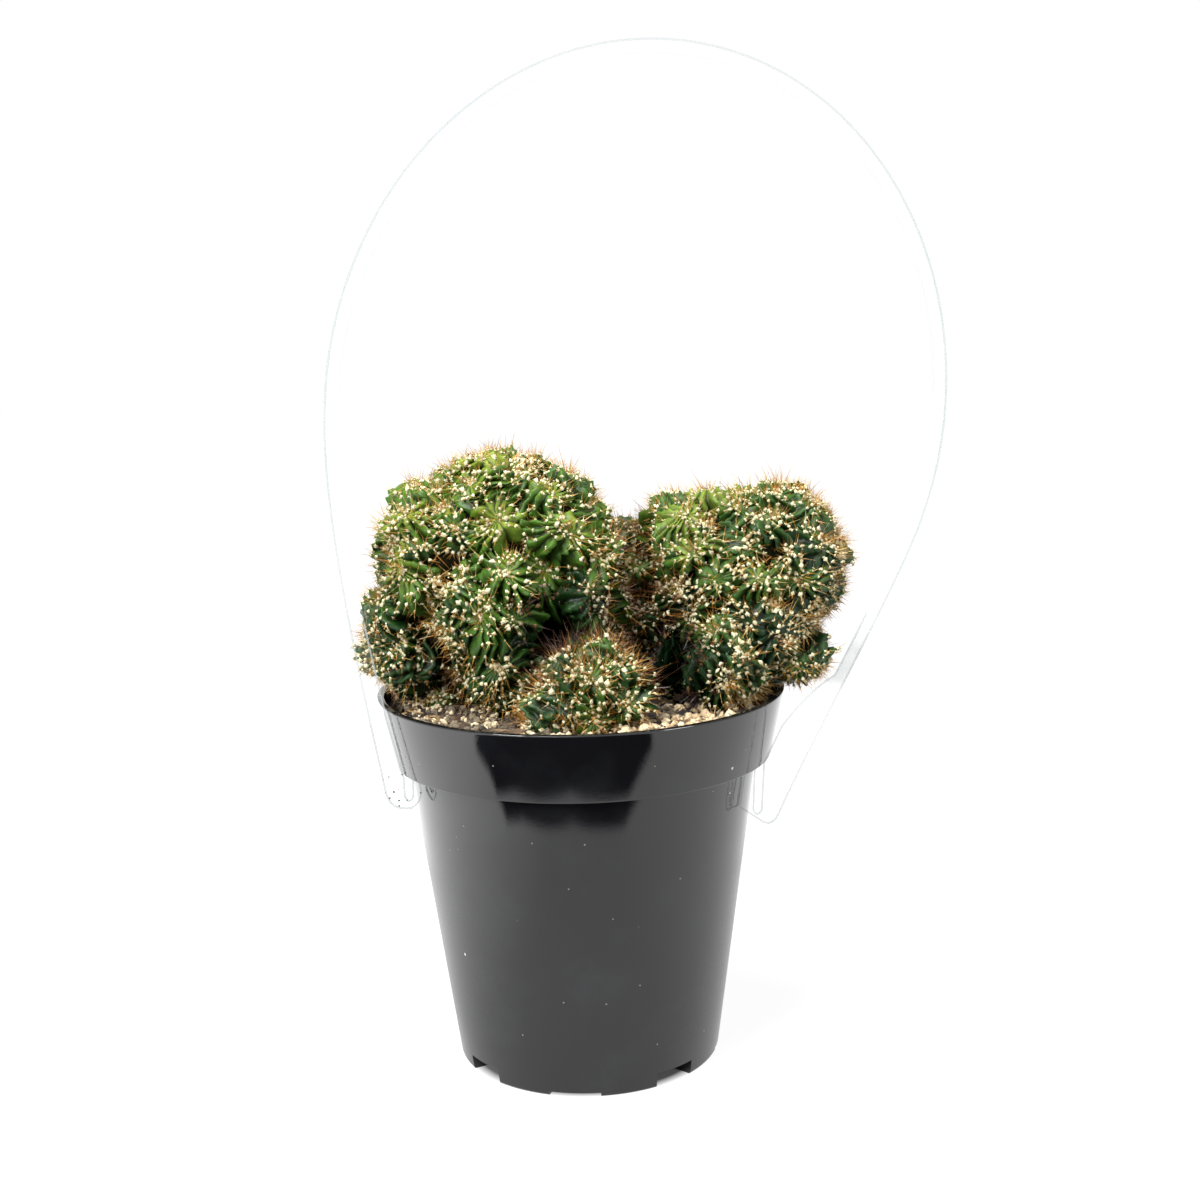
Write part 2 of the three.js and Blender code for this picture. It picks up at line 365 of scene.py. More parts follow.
def pot_plastic():
    """Black moulded plastic: a glossy rim, a satin body with fine grain, dust and faint smears."""
    material, tree, shader, place = new_material("pot_plastic")
    height = parted(tree, place)["Z"]
    cloud = noise(tree, place, 45, 5)
    grain = noise(tree, place, 2600, 2)
    coarse = specked(tree, place, 170, 0.075, 0.92)
    powder = specked(tree, place, 420, 0.10, 0.93)
    dust = worked(tree, "MULTIPLY_ADD", powder, 0.35, coarse, clamp=True)
    base = blended(tree, spread(tree, cloud, 0.5, 0.75), (0.004, 0.004, 0.005), (0.010, 0.011, 0.012))
    tree.links.new(blended(tree, dust, base, (0.6, 0.59, 0.55)), shader.inputs["Base Color"])
    on_rim = spread(tree, height, 90.5 * mm, 91.5 * mm)
    satin = spread(tree, height, 60 * mm, 82 * mm, 0.25, 0.045)
    satin = worked(tree, "MULTIPLY_ADD", on_rim, -0.03, satin, clamp=True)
    smear = spread(tree, cloud, 0.3, 0.75, 0.0, 0.035)
    dress(tree, shader, {"Roughness": worked(tree, "ADD", satin, smear), "IOR": 1.52})
    bumped(tree, shader, grain, 0.05, 0.2 * mm)
    return material


def body_radius(height):
    """The body's outside at a height."""
    return base_radius + body_slope * height


def band_radius(height):
    """The rim band's outside at a height."""
    rise = (height - band_low) / (pot_height - band_low)
    return band_low_radius + (rim_radius - band_low_radius) * rise


shoulder = groove_top + wall
pot_profile = stretched(rounded([
    (0.0, 0.0, 0.0),
    (body_radius(0.0), 0.0, 0.8 * mm),
    (body_radius(groove_top), groove_top, 0.3 * mm),
    (band_radius(groove_top) - wall, groove_top, 0.3 * mm),
    (band_radius(band_low) - wall, band_low, 0.35 * mm),
    (band_radius(band_low), band_low, 0.35 * mm),
    (rim_radius, pot_height, 0.5 * mm),
    (rim_radius - lip_width, pot_height, 0.45 * mm),
    (band_radius(shoulder) - wall - 0.4 * mm, shoulder, 0.6 * mm),
    (body_radius(shoulder) - wall, shoulder, 0.5 * mm),
    (body_radius(floor_thickness) - wall, floor_thickness, 1 * mm),
    (0.0, floor_thickness, 0.0),
]), 12 * mm)
pot = put_mesh("pot_moulding", *turned_surface(pot_profile, 192), pot_plastic())
housings = joined([
    sector_block(26.2 * mm, base_radius - 0.5 * mm, bearing, 24, 1.2 * mm, 5.9 * mm)
    for bearing in pocket_bearings
])
openings = joined(
    [sector_block(27.6 * mm, 45 * mm, bearing, 19, -1 * mm, 4.5 * mm) for bearing in pocket_bearings]
    + [sector_block(34 * mm, 45 * mm, bearing, 22, -1 * mm, 1.3 * mm) for bearing in notch_bearings]
)
drains = joined([
    sector_block(30 * mm, 35.5 * mm, bearing, 11, 4 * mm, 8 * mm) for bearing in pocket_bearings
])
boolean(pot, housings, "UNION")
boolean(pot, openings, "DIFFERENCE")
boolean(pot, drains, "DIFFERENCE")
pot.data.polygons.foreach_set("use_smooth", np.full(len(pot.data.polygons), True))
pot.data.set_sharp_from_angle(angle=math.radians(32))
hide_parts("nursery_pot")
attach(pot, "root")


# Potting mix
# Loose bark and pumice, filled to just under the lip. The fill itself is the CAD solid; its top is a
# rough crust of crumbs, and loose grains lie on it: pale pumice to the right, dark bark to the left.

mix_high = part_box("potting_mix")[1]
crust_radius = mix_high[0] + 0.3 * mm
crust_level = mix_high[2] - 1.0 * mm


def mix_material(name, dark, pale):
    """Bark and pumice: brown to cream by each point's own tone, broken up by noise, and darkened by
    painted shade in the gap between the front and right stems, where the heads overhang it."""
    material, tree, shader, place = new_material(name)
    speckle = noise(tree, place, 1500, 4)
    base = blended(tree, attribute(tree, "tone"), dark, pale)
    shade = spread(tree, speckle, 0.35, 0.7, 0.45, 1.25)
    # Painted shade: the mix turns dark near a point in the gap between the front and right stems.
    from_gap = distance_from(tree, place, (19 * mm, -29 * mm, 108 * mm))
    painted_gap_shade = spread(tree, from_gap, 6 * mm, 11 * mm, 0.12, 1.0)
    dress(tree, shader, {
        "Base Color": darkened(tree, base, shade, painted_gap_shade),
        "Roughness": spread(tree, speckle, 0.3, 0.7, 0.8, 1.0),
    })
    bumped(tree, shader, speckle, 0.8, 0.6 * mm)
    return material


def waves(points, scale, count, rng):
    """Smooth noise from -1 to 1: the mean of a few sine waves in random directions."""
    directions = rng.normal(size=(count, points.shape[-1]))
    directions *= scale / np.linalg.norm(directions, axis=1, keepdims=True)
    phases = rng.uniform(0, 2 * np.pi, count)
    return np.sin(points @ directions.T + phases).sum(-1) / math.sqrt(count / 2)


rng = np.random.default_rng(12)
ring_count, step_count = 46, 180
ring_share = np.linspace(0, 1, ring_count + 1)[1:, None]
turn = 2 * np.pi * np.arange(step_count) / step_count
flat = np.stack([
    crust_radius * ring_share * np.cos(turn),
    crust_radius * ring_share * np.sin(turn),
], axis=-1)
rough = 0.9 * mm * waves(flat, 500, 8, rng) + 0.7 * mm * waves(flat, 1500, 12, rng)
rough += rng.normal(0, 0.25 * mm, rough.shape)
settle = np.clip((1 - ring_share) * 8, 0, 1)
heights = crust_level - 0.6 * mm + rough * (0.35 + 0.65 * settle)
crust_top = np.concatenate([flat, heights[..., None]], axis=-1).reshape(-1, 3)
crust_top = np.concatenate([crust_top, [[0, 0, crust_level]]])
crust_base = crust_top * [1, 1, 0] + [0, 0, crust_level - 4 * mm]
crust_points = np.concatenate([crust_top, crust_base])
here = np.arange(step_count)
following = (here + 1) % step_count
top_faces = closed_rings(ring_count, step_count)[:-step_count]
edge = (ring_count - 1) * step_count
under = len(crust_top)
skirt_faces = np.concatenate([
    np.stack([edge + here, under + edge + here, under + edge + following], axis=-1),
    np.stack([edge + here, under + edge + following, edge + following], axis=-1),
])
crust_faces = np.concatenate([top_faces, top_faces[:, ::-1] + under, skirt_faces])
crust_tone = np.clip(0.20 + 0.25 * waves(crust_points[:, :2], 300, 6, rng), 0, 1)
crust_look = mix_material("mix_crust", (0.012, 0.006, 0.003), (0.20, 0.12, 0.055))
crust = put_mesh("mix_crust", crust_points, crust_faces, crust_look, attributes={"tone": crust_tone})
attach(crust, "root")


def packed_mix():
    """The fill below the crust, seen only through the drain holes."""
    material, tree, shader, place = new_material("packed_mix")
    speckle = noise(tree, place, 700, 5)
    base = blended(tree, spread(tree, speckle, 0.45, 0.65), (0.03, 0.018, 0.01), (0.25, 0.18, 0.11))
    dress(tree, shader, {"Base Color": base, "Roughness": 0.95})
    bumped(tree, shader, speckle, 1.0, 1 * mm)
    return material


nodes["potting_mix"].data.materials.clear()
nodes["potting_mix"].data.materials.append(packed_mix())


def bead_shape():
    """The twelve corners and twenty faces of an icosahedron of radius 1."""
    golden = (1 + math.sqrt(5)) / 2
    corners = np.array([
        [-1, golden, 0], [1, golden, 0], [-1, -golden, 0], [1, -golden, 0],
        [0, -1, golden], [0, 1, golden], [0, -1, -golden], [0, 1, -golden],
        [golden, 0, -1], [golden, 0, 1], [-golden, 0, -1], [-golden, 0, 1],
    ])
    faces = np.array([
        [0, 11, 5], [0, 5, 1], [0, 1, 7], [0, 7, 10], [0, 10, 11],
        [1, 5, 9], [5, 11, 4], [11, 10, 2], [10, 7, 6], [7, 1, 8],
        [3, 9, 4], [3, 4, 2], [3, 2, 6], [3, 6, 8], [3, 8, 9],
        [4, 9, 5], [2, 4, 11], [6, 2, 10], [8, 6, 7], [9, 8, 1],
    ])
    return corners / np.linalg.norm(corners[0]), faces


def crosswise(axes):
    """Two unit vectors at right angles to each axis and to each other."""
    helper = np.where(np.abs(axes[:, 2:3]) < 0.9, [[0.0, 0.0, 1.0]], [[1.0, 0.0, 0.0]])
    first = np.cross(helper, axes)
    first /= np.linalg.norm(first, axis=1, keepdims=True)
    return first, np.cross(axes, first)


def unit(vectors):
    """Vectors of length 1."""
    return vectors / np.linalg.norm(vectors, axis=-1, keepdims=True)


def copies(shape, places, axes, sizes, twist, jitter=0.0, rng=None):
    """Copies of (corners, faces): each is scaled by its three sizes (across, across, along its axis),
    twisted about the axis, and moved to its place. jitter moves each corner in or out."""
    corners, faces = shape
    first, second = crosswise(axes)
    cos, sin = np.cos(twist)[:, None], np.sin(twist)[:, None]
    first, second = first * cos + second * sin, second * cos - first * sin
    local = corners[None] * sizes[:, None, :]
    if jitter:
        local = local * (1 + rng.uniform(-jitter, jitter, local.shape[:2]))[..., None]
    points = (
        places[:, None]
        + local[..., :1] * first[:, None]
        + local[..., 1:2] * second[:, None]
        + local[..., 2:] * axes[:, None]
    )
    numbers = faces[None] + (np.arange(len(places)) * len(corners))[:, None, None]
    return points.reshape(-1, 3), numbers.reshape(-1, 3)


def strewn(count, rng, low_size, high_size, lift):
    """Places, axes and sizes of grains strewn over the crust, evenly by area."""
    radius = (crust_radius - 1.2 * mm) * np.sqrt(rng.uniform(0.05, 1, count))
    angle = rng.uniform(0, 2 * np.pi, count)
    size = rng.uniform(low_size, high_size, count)
    places = np.stack([
        radius * np.cos(angle),
        radius * np.sin(angle),
        crust_level + lift * size + rng.uniform(-0.3, 0.6, count) * mm,
    ], axis=-1)
    return places, unit(rng.normal(size=(count, 3))), size


def put_grains(name, places, axes, sizes, tone, jitter, colours, rng):
    """One piece of many rough grains. tone holds each grain's, or is the least of tones drawn here."""
    count = len(places)
    points, faces = copies(bead_shape(), places, axes, sizes, rng.uniform(0, 6.3, count), jitter, rng)
    if np.ndim(tone) == 0:
        tone = rng.uniform(tone, 1, count)
    material = mix_material(name, *colours)
    piece = put_mesh(name, points, faces, material, False, {"tone": np.repeat(tone, 12)})
    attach(piece, "root")


grain_count = 1900
grain_places, grain_axes, grain_size = strewn(grain_count, rng, 0.45 * mm, 1.4 * mm, 0.25)
grain_sizes = grain_size[:, None] * rng.uniform(0.55, 1.2, (grain_count, 3))
rightness = np.clip((grain_places[:, 0] + 12 * mm) / (30 * mm), 0, 1)
frontness = np.clip((-grain_places[:, 1] - 42 * mm) / (8 * mm), 0, 1)
paleness = np.clip(0.30 + 0.5 * np.maximum(rightness, frontness * 0.9), 0, 1)
picked = rng.uniform(size=grain_count) < paleness
grain_tone = np.where(picked, rng.uniform(0.45, 1, grain_count), rng.uniform(0, 0.25, grain_count))
grain_colours = (0.016, 0.008, 0.004), (1.0, 0.82, 0.53)
put_grains("mix_grains", grain_places, grain_axes, grain_sizes, grain_tone, 0.25, grain_colours, rng)

crumb_tries = 130
crumb_places = np.stack([
    rng.uniform(8, 47, crumb_tries) * mm,
    rng.uniform(-54, -22, crumb_tries) * mm,
    crust_level + rng.uniform(0.2, 1.6, crumb_tries) * mm,
], axis=-1)
crumb_places = crumb_places[np.linalg.norm(crumb_places[:, :2], axis=1) < crust_radius - 2.2 * mm]
crumb_count = len(crumb_places)
crumb_axes = unit(rng.normal(size=(crumb_count, 3)))
crumb_sizes = rng.uniform(0.9, 1.9, (crumb_count, 1)) * rng.uniform(0.6, 1.15, (crumb_count, 3)) * mm
crumb_colours = (0.30, 0.17, 0.07), (1.0, 0.80, 0.50)
put_grains("mix_crumbs", crumb_places, crumb_axes, crumb_sizes, 0.2, 0.28, crumb_colours, rng)

fibre_count = 260
fibre_places, fibre_axes, fibre_size = strewn(fibre_count, rng, 1.6 * mm, 3.6 * mm, 0)
fibre_places += [0, 0, 0.9 * mm]
fibre_axes = unit(fibre_axes * [1, 1, 0.25])
fibre_sizes = np.tile([0.20 * mm, 0.30 * mm, 0.0], (fibre_count, 1))
fibre_sizes[:, 2] = fibre_size
fibre_colours = (0.07, 0.03, 0.012), (0.62, 0.40, 0.18)
put_grains("mix_fibres", fibre_places, fibre_axes, fibre_sizes, 0.0, 0.2, fibre_colours, rng)


# Stems
# Four grown clusters. Each is a mass of ribbed heads: short swollen shoots with seven to thirteen
# ribs, waxy green skin, cream woolly areoles crowded round each tip and fine golden to rusty spines.

rib_samples = 6
areole_turns = np.radians([6, 17, 32, 50, 69, 90])
areole_shares = [0.5, 1.0, 1.0, 0.85, 0.6, 0.4]
ring_turns = np.radians([6, 11.5, 17, 24.5, 32, 41, 50, 59.5, 69, 79.5, 90, 104])
ring_knobs = np.array([0.5, -0.5, 1, -1, 1, -1, 1, -1, 1, -1, 1, -1])


def surface_samples(node, count, rng):
    """Points and outward normals spread evenly by area over a CAD node's triangles, and the area
    that each stands for."""
    mesh = nodes[node].data
    mesh.calc_loop_triangles()
    corners = np.empty(len(mesh.loop_triangles) * 3, np.int32)
    mesh.loop_triangles.foreach_get("vertices", corners)
    places = np.empty(len(mesh.vertices) * 3, np.float32)
    mesh.vertices.foreach_get("co", places)
    triangles = places.reshape(-1, 3)[corners.reshape(-1, 3)].astype(float)
    normal = np.cross(triangles[:, 1] - triangles[:, 0], triangles[:, 2] - triangles[:, 0])
    area = np.linalg.norm(normal, axis=1)
    picked = rng.choice(len(triangles), count, p=area / area.sum())
    a, b = rng.uniform(size=(2, count, 1))
    fold = (a + b) > 1
    a, b = np.where(fold, 1 - a, a), np.where(fold, 1 - b, b)
    corner = triangles[picked]
    points = corner[:, 0] + a * (corner[:, 1] - corner[:, 0]) + b * (corner[:, 2] - corner[:, 0])
    return points, normal[picked] / area[picked][:, None], area.sum() / 2 / count


def spaced(points, sizes, taken, taken_sizes, closeness):
    """Picks points in order that keep closeness times the sum of their sizes from those already picked."""
    places = list(taken)
    radii = list(taken_sizes)
    chosen = []
    for i, (point, size) in enumerate(zip(points, sizes)):
        if places:
            reach = np.linalg.norm(np.array(places) - point, axis=1)
            if (reach < closeness * (np.array(radii) + size)).any():
                continue
        places.append(point)
        radii.append(size)
        chosen.append(i)
    return np.array(chosen, int)


hollows = {
    "stem_left": np.array([[-6.3, -27, 133.6, 11.5], [-2, -24, 125, 9], [-43, -22, 117.5, 5]]) * mm,
    "stem_right": np.array([[25, -24, 121, 12], [27, -20, 113, 9]]) * mm,
    "stem_middle": np.empty((0, 4)),
    "stem_front": np.empty((0, 4)),
}


def clearance(points, node):
    """How far each point lies outside the stem's dark hollows, where no heads have grown."""
    near = hollows[node]
    apart = np.linalg.norm(points[..., None, :] - near[:, :3], axis=-1) - near[:, 3]
    return apart.min(-1, initial=1.0)


def painted_hollow_shade(points):
    """How much painted shade darkens wool and spines: 1 inside the dark gaps beside the front stem,
    falling to 0 within 3 mm around them.
    """
    apart = np.minimum(clearance(points, "stem_left"), clearance(points, "stem_right"))
    return np.clip(1 - apart / (3 * mm), 0, 1)


rng = np.random.default_rng(5)
stem_nodes = ["stem_left", "stem_right", "stem_middle", "stem_front"]
sample_count = 2500
all_samples = [surface_samples(node, sample_count, rng) for node in stem_nodes]
sky_points = np.concatenate([sample[0] for sample in all_samples])
sky_normals = np.concatenate([sample[1] for sample in all_samples])
sky_areas = np.concatenate([np.full(sample_count, sample[2]) for sample in all_samples])


def openness(points, normals):
    """How much of the sky over each point the other growth leaves free, from 1 on an open crown to 0
    deep in a crevice: each sample of the stems' surfaces within 30 mm takes its solid angle away,
    weighted by the cosine to the point's own normal."""
    horizon, strength = 0.12, 1.22
    away = sky_points[None] - points[:, None]
    reach = np.linalg.norm(away, axis=2)
    direction = away / reach[..., None]
    seen = np.clip((direction * normals[:, None]).sum(-1) - horizon, 0, 1)
    facing = np.clip(-(direction * sky_normals[None]).sum(-1), 0, 1)
    near = (reach < 30 * mm) & (reach > 3 * mm)
    taken = np.where(near, seen * facing * sky_areas / np.maximum(reach, 1e-6) ** 2, 0).sum(1)
    return np.clip(1 - strength * taken / np.pi, 0, 1)


def grow_heads(node, rng, small, large, filler):
    """The heads of one stem: main heads set close over its CAD surface, then small ones between."""
    tries, main_closeness, fill_closeness = 5000, 0.84, 0.86
    points, normals, _ = surface_samples(node, tries, rng)
    over_mix = points[:, 2] > crust_level + 1.5 * mm
    points, normals = points[over_mix], normals[over_mix]
    radii = rng.uniform(small, large, len(points))
    kept = clearance(points, node) > 0
    points, normals, radii = points[kept], normals[kept], radii[kept]
    main = spaced(points, radii, [], [], main_closeness)
    fill_radii = rng.uniform(*filler, len(points))
    fill = spaced(points, fill_radii, points[main], radii[main], fill_closeness)
    chosen = np.concatenate([main, fill])
    radius = np.concatenate([radii[main], fill_radii[fill]])
    near = np.linalg.norm(points[chosen][:, None] - points[None], axis=2) < 6 * mm
    outward = unit(near @ normals)
    count = len(chosen)
    axis = unit(outward + [0, 0, 0.22] + rng.normal(0, 0.17, (count, 3)))
    length = radius * rng.uniform(0.95, 1.25, count)
    is_main = np.arange(count) < len(main)
    sunk = np.where(is_main, 0, 1.5 * mm)
    longer = np.where(is_main, rng.uniform(1.0, 1.65, count), 1.05)
    radius = radius * 1.09
    outside = (outward[:, :1] * points[chosen][:, :1] > 0) * 1.0
    drawn = outward * (np.array([-0.6, -1.2, 0.1]) + outside * [-2.1, 0, 0]) * mm
    centre = points[chosen] + drawn - axis * (length + sunk)[:, None]
    first, second = crosswise(axis)
    turn = rng.uniform(0, 2 * np.pi, count)[:, None]
    cos, sin = np.cos(turn), np.sin(turn)
    first, second = first * cos + second * sin, second * cos - first * sin
    rib_width = 4.4 * mm
    ribs = np.round(np.pi * radius * (1 + longer) * 0.93 / rib_width).astype(int)
    # Openness to the sky, also lowered near the hollows: the skin, wool and spines darken with it as painted
    # shade.
    free = openness(points[chosen] + outward * 1 * mm, outward)
    beside = clearance(points[chosen], node)
    return {
        "centre": centre,
        "axis": axis,
        "first": first,
        "second": second,
        "radius": radius,
        "length": length,
        "longer": longer,
        "ribs": np.clip(ribs, 6, 13),
        "phase": rng.uniform(0, 2 * np.pi, count),
        "twist": rng.normal(0, 0.30, count),
        "bend": rng.normal(0, 0.2, (count, 2)),
        "depth": rng.uniform(0.30, 0.50, count),
        "edge": rng.uniform(0.8, 1.7, count),
        "lumps": rng.uniform(0, 2 * np.pi, (count, 4)),
        "tone": rng.uniform(0, 1, count),
        "open": free * np.clip(0.45 + beside / (9 * mm), 0, 1),
    }


def head_point(head, theta, polar):
    """A point of each head at an angle theta round it and a polar angle from its tip.
    The dome is an ellipsoid with a dimpled tip. Its radius is cut in at the valleys by depth times
    one minus the crest |cos(n theta / 2)| ^ edge, swells under each areole, and it is wider along its
    first side vector. Two slow waves in theta make the ribs unevenly wide and their rings uneven.
    Returns the points, the crest and how near to the tip they are."""

    def column(key):
        value = head[key]
        return value.reshape(value.shape[0], *([1] * (theta.ndim - 1)), *value.shape[1:])

    share = polar / ring_turns[-1]
    crest = np.abs(np.cos(column("ribs") * theta / 2)) ** column("edge")
    knob = np.interp(polar, ring_turns, ring_knobs)
    opening = np.clip(polar / 0.42, 0, 1)
    lumps = column("lumps")
    polar = polar * (1 + 0.13 * np.sin(2 * theta + lumps[..., 0]) + 0.08 * np.sin(5 * theta + lumps[..., 1]))
    valley = column("depth") * (0.3 + 0.7 * opening)
    uneven = 0.11 * np.sin(2 * theta + lumps[..., 2]) + 0.09 * np.sin(3 * theta + lumps[..., 1] + 2 * polar)
    uneven += 0.08 * np.sin(5 * polar + lumps[..., 2] + theta) + 0.06 * np.sin(5 * theta + lumps[..., 3])
    uneven += 0.055 * crest * opening * knob
    radius = column("radius") * np.sin(polar) ** 0.8 * (1 - valley * (1 - crest)) * (1 + uneven)
    dimple = 0.14 * np.exp(-((polar / 0.36) ** 2))
    height = column("length") * (np.cos(polar) - dimple)
    height = height + column("radius") * crest * opening * (0.10 + 0.05 * knob)
    around = theta + 0.20 * np.sin(theta + lumps[..., 3]) + 0.12 * np.sin(2 * theta + lumps[..., 0])
    around = around + column("phase") + column("twist") * share * 3
    lean = (height / column("length")) ** 2 * column("radius")
    bend = column("bend")
    x = column("longer") * radius * np.cos(around) + bend[..., 0] * lean
    y = radius * np.sin(around) + bend[..., 1] * lean
    points = (
        column("centre")
        + x[..., None] * column("first")
        + y[..., None] * column("second")
        + height[..., None] * column("axis")
    )
    points = points + 1.1 * mm * np.sin(points[..., [1, 2, 0]] * 520 + [0.4, 2.1, 4.4]) * np.sin(
        points[..., [2, 0, 1]] * 390 + [1.1, 3.0, 5.2]
    )
    points = points + 0.22 * mm * np.sin(points[..., [2, 0, 1]] * 1500 + [0.9, 2.6, 4.0])
    relief = crest * (0.82 + 0.18 * knob)
    return points, relief * np.ones_like(polar * theta), (1 - share) * np.ones_like(theta * share)


def picked_heads(heads, mask):
    """Only some of the heads."""
    return {key: value[mask] for key, value in heads.items()}


def head_skin(heads):
    """The skin of all heads of one stem: for each, a grid of six points a rib round and one ring at
    and between the areoles down, with a fan at the tip and one at the base."""
    blocks, crests, reaches, tones, shades = [], [], [], [], []
    for ribs in np.unique(heads["ribs"]):
        group = picked_heads(heads, heads["ribs"] == ribs)
        count, around = len(group["ribs"]), int(ribs) * rib_samples
        ring_total = len(ring_turns)
        theta = (2 * np.pi * np.arange(around) / around)[None, None] * np.ones((count, ring_total, 1))
        polar = ring_turns[None, :, None] * np.ones((count, 1, around))
        points, crest, reach = head_point(group, theta, polar)
        tip = points[:, 0].mean(1) - group["axis"] * 0.04 * group["length"][:, None]
        base = points[:, -1].mean(1) - group["axis"] * 0.5 * group["radius"][:, None]
        whole = np.concatenate([points.reshape(count, -1, 3), tip[:, None], base[:, None]], axis=1)
        template = closed_rings(ring_total, around)
        total = ring_total * around
        offsets = np.arange(count) * (total + 2)
        blocks.append((whole.reshape(-1, 3), (template[None] + offsets[:, None, None]).reshape(-1, 3)))
        ends = np.ones((count, 2))
        crests.append(np.concatenate([crest.reshape(count, -1), ends * 0.6], axis=1).ravel())
        reaches.append(np.concatenate([reach.reshape(count, -1), ends * [1, 0]], axis=1).ravel())
        tones.append(np.repeat(group["tone"], total + 2))
        shades.append(np.repeat(group["open"], total + 2))
    points, faces = joined(blocks)
    return points, faces, {
        "crest": np.concatenate(crests),
        "reach": np.concatenate(reaches),
        "tone": np.concatenate(tones),
        "open": np.concatenate(shades),
    }


def areole_places(node, heads, rng):
    """Where the areoles sit: on every rib, crowded near the tip and fewer towards the base. Returns
    their places, the directions away from the head and along the rib, their tone and openness."""
    found = {key: [] for key in ("place", "outward", "along", "tone", "open")}
    for ribs in np.unique(heads["ribs"]):
        group = picked_heads(heads, heads["ribs"] == ribs)
        shape = (len(group["ribs"]), int(ribs))
        theta = np.broadcast_to(2 * np.pi * np.arange(ribs) / ribs, shape)
        offset = rng.normal(0, 0.07, shape)
        for turn, share in zip(areole_turns, areole_shares):
            angle = theta + rng.normal(0, 0.06, shape)
            polar = np.abs(turn + offset + rng.normal(0, 0.05, shape))
            points, _, _ = head_point(group, angle, polar)
            further, _, _ = head_point(group, angle, polar + 0.1)
            middle = group["centre"] + 0.25 * group["axis"] * group["length"][:, None]
            clear = (points[..., 2] > crust_level) & (clearance(points, node) > -3 * mm)
            keep = (rng.uniform(size=shape) < share) & clear
            found["place"].append(points[keep])
            found["outward"].append(unit(points - middle[:, None])[keep])
            found["along"].append(unit(further - points)[keep])
            found["tone"].append(np.broadcast_to(group["tone"][:, None], shape)[keep])
            found["open"].append(np.broadcast_to(group["open"][:, None], shape)[keep])
    return {key: np.concatenate(values) for key, values in found.items()}


def tuft_shape():
    """The six corners and eight faces of an octahedron of radius 1."""
    corners = np.array([[1, 0, 0], [-1, 0, 0], [0, 1, 0], [0, -1, 0], [0, 0, 1], [0, 0, -1]], float)
    faces = np.array([
        [0, 2, 4], [2, 1, 4], [1, 3, 4], [3, 0, 4], [2, 0, 5], [1, 2, 5], [3, 1, 5], [0, 3, 5],
    ])
    return corners, faces


def spine_shape():
    """A three-sided needle of length 1 and base radius 1, closed by its base."""
    angle = 2 * np.pi * np.arange(3) / 3
    corners = np.concatenate([
        np.stack([np.cos(angle), np.sin(angle), np.zeros(3)], axis=-1),
        [[0.0, 0.0, 1.0]],
    ])
    faces = np.array([[0, 1, 3], [1, 2, 3], [2, 0, 3], [0, 2, 1]])
    return corners, faces


def fanned(axes, spread_angle, rng):
    """Directions turned away from each axis by spread_angle, all ways round."""
    first, second = crosswise(axes)
    around = rng.uniform(0, 2 * np.pi, len(axes))[:, None]
    side = first * np.cos(around) + second * np.sin(around)
    return axes * np.cos(spread_angle)[:, None] + side * np.sin(spread_angle)[:, None]


def skin_material(name, deep, middle, fresh):
    """Waxy cactus skin, mottled, with pale corky spots and a faint gloss where the sky reaches it. It is
    deep green low down and yellow-green on the crowns, partly new growth at the tips and partly
    painted light from above, and painted shade darkens it in the rib valleys and in the crevices."""
    material, tree, shader, place = new_material(name)
    free = attribute(tree, "open")
    cloud = noise(tree, place, 240, 4)
    fine = noise(tree, place, 2200, 3)
    # Painted light: yellow-green higher up and deeper green lower down, as if lit from above.
    sunlit = spread(tree, parted(tree, place)["Z"], 126 * mm, 174 * mm, -0.15, 0.45)
    near_tip = spread(tree, attribute(tree, "reach"), 0.3, 0.95)
    young_and_sunlit = worked(tree, "MULTIPLY_ADD", near_tip, 0.32, sunlit)
    paler = spread(tree, attribute(tree, "tone"), 0, 1, -0.24, 0.30)
    ripe_and_sunlit = worked(tree, "ADD", young_and_sunlit, paler, clamp=True)
    base = blended(tree, spread(tree, ripe_and_sunlit, 0.0, 0.5), deep, middle)
    base = blended(tree, spread(tree, ripe_and_sunlit, 0.5, 1.0), base, fresh)
    # Painted shade: darker in the rib valleys and where the other heads hide the sky.
    valley = spread(tree, attribute(tree, "crest"), 0.0, 0.75, 0.16, 1.0)
    hidden = spread(tree, free, 0.2, 0.8, 0.15, 1.0)
    mottled = spread(tree, cloud, 0.35, 0.7, 0.68, 1.25)
    base = darkened(tree, base, valley, hidden, mottled)
    corky = specked(tree, place, 900, 0.15, 0.92)
    base = blended(tree, corky, base, (0.30, 0.32, 0.14))
    dress(tree, shader, {
        "Base Color": base,
        "Roughness": spread(tree, fine, 0.3, 0.75, 0.30, 0.52),
        "Specular IOR Level": spread(tree, free, 0.3, 0.9, 0.0, 0.18),
        "Coat Weight": 0.04,
        "Coat Roughness": 0.20,
    })
    bumped(tree, shader, fine, 0.2, 0.3 * mm)
    return material


def wool_material():
    """Felted cream wool of the areoles, browner on some heads, and darkened by painted shade deep between
    them.
    """
    material, tree, shader, place = new_material("areole_wool")
    fluff = noise(tree, place, 4000, 3)
    base = blended(tree, attribute(tree, "tone"), (0.97, 0.92, 0.62), (0.13, 0.075, 0.03))
    shade = spread(tree, fluff, 0.3, 0.7, 0.55, 1.12)
    dress(tree, shader, {
        "Base Color": darkened(tree, base, shade),
        "Roughness": spread(tree, fluff, 0.3, 0.7, 0.75, 1.0),
        "Specular IOR Level": 0.1,
    })
    bumped(tree, shader, fluff, 0.7, 0.3 * mm)
    return material


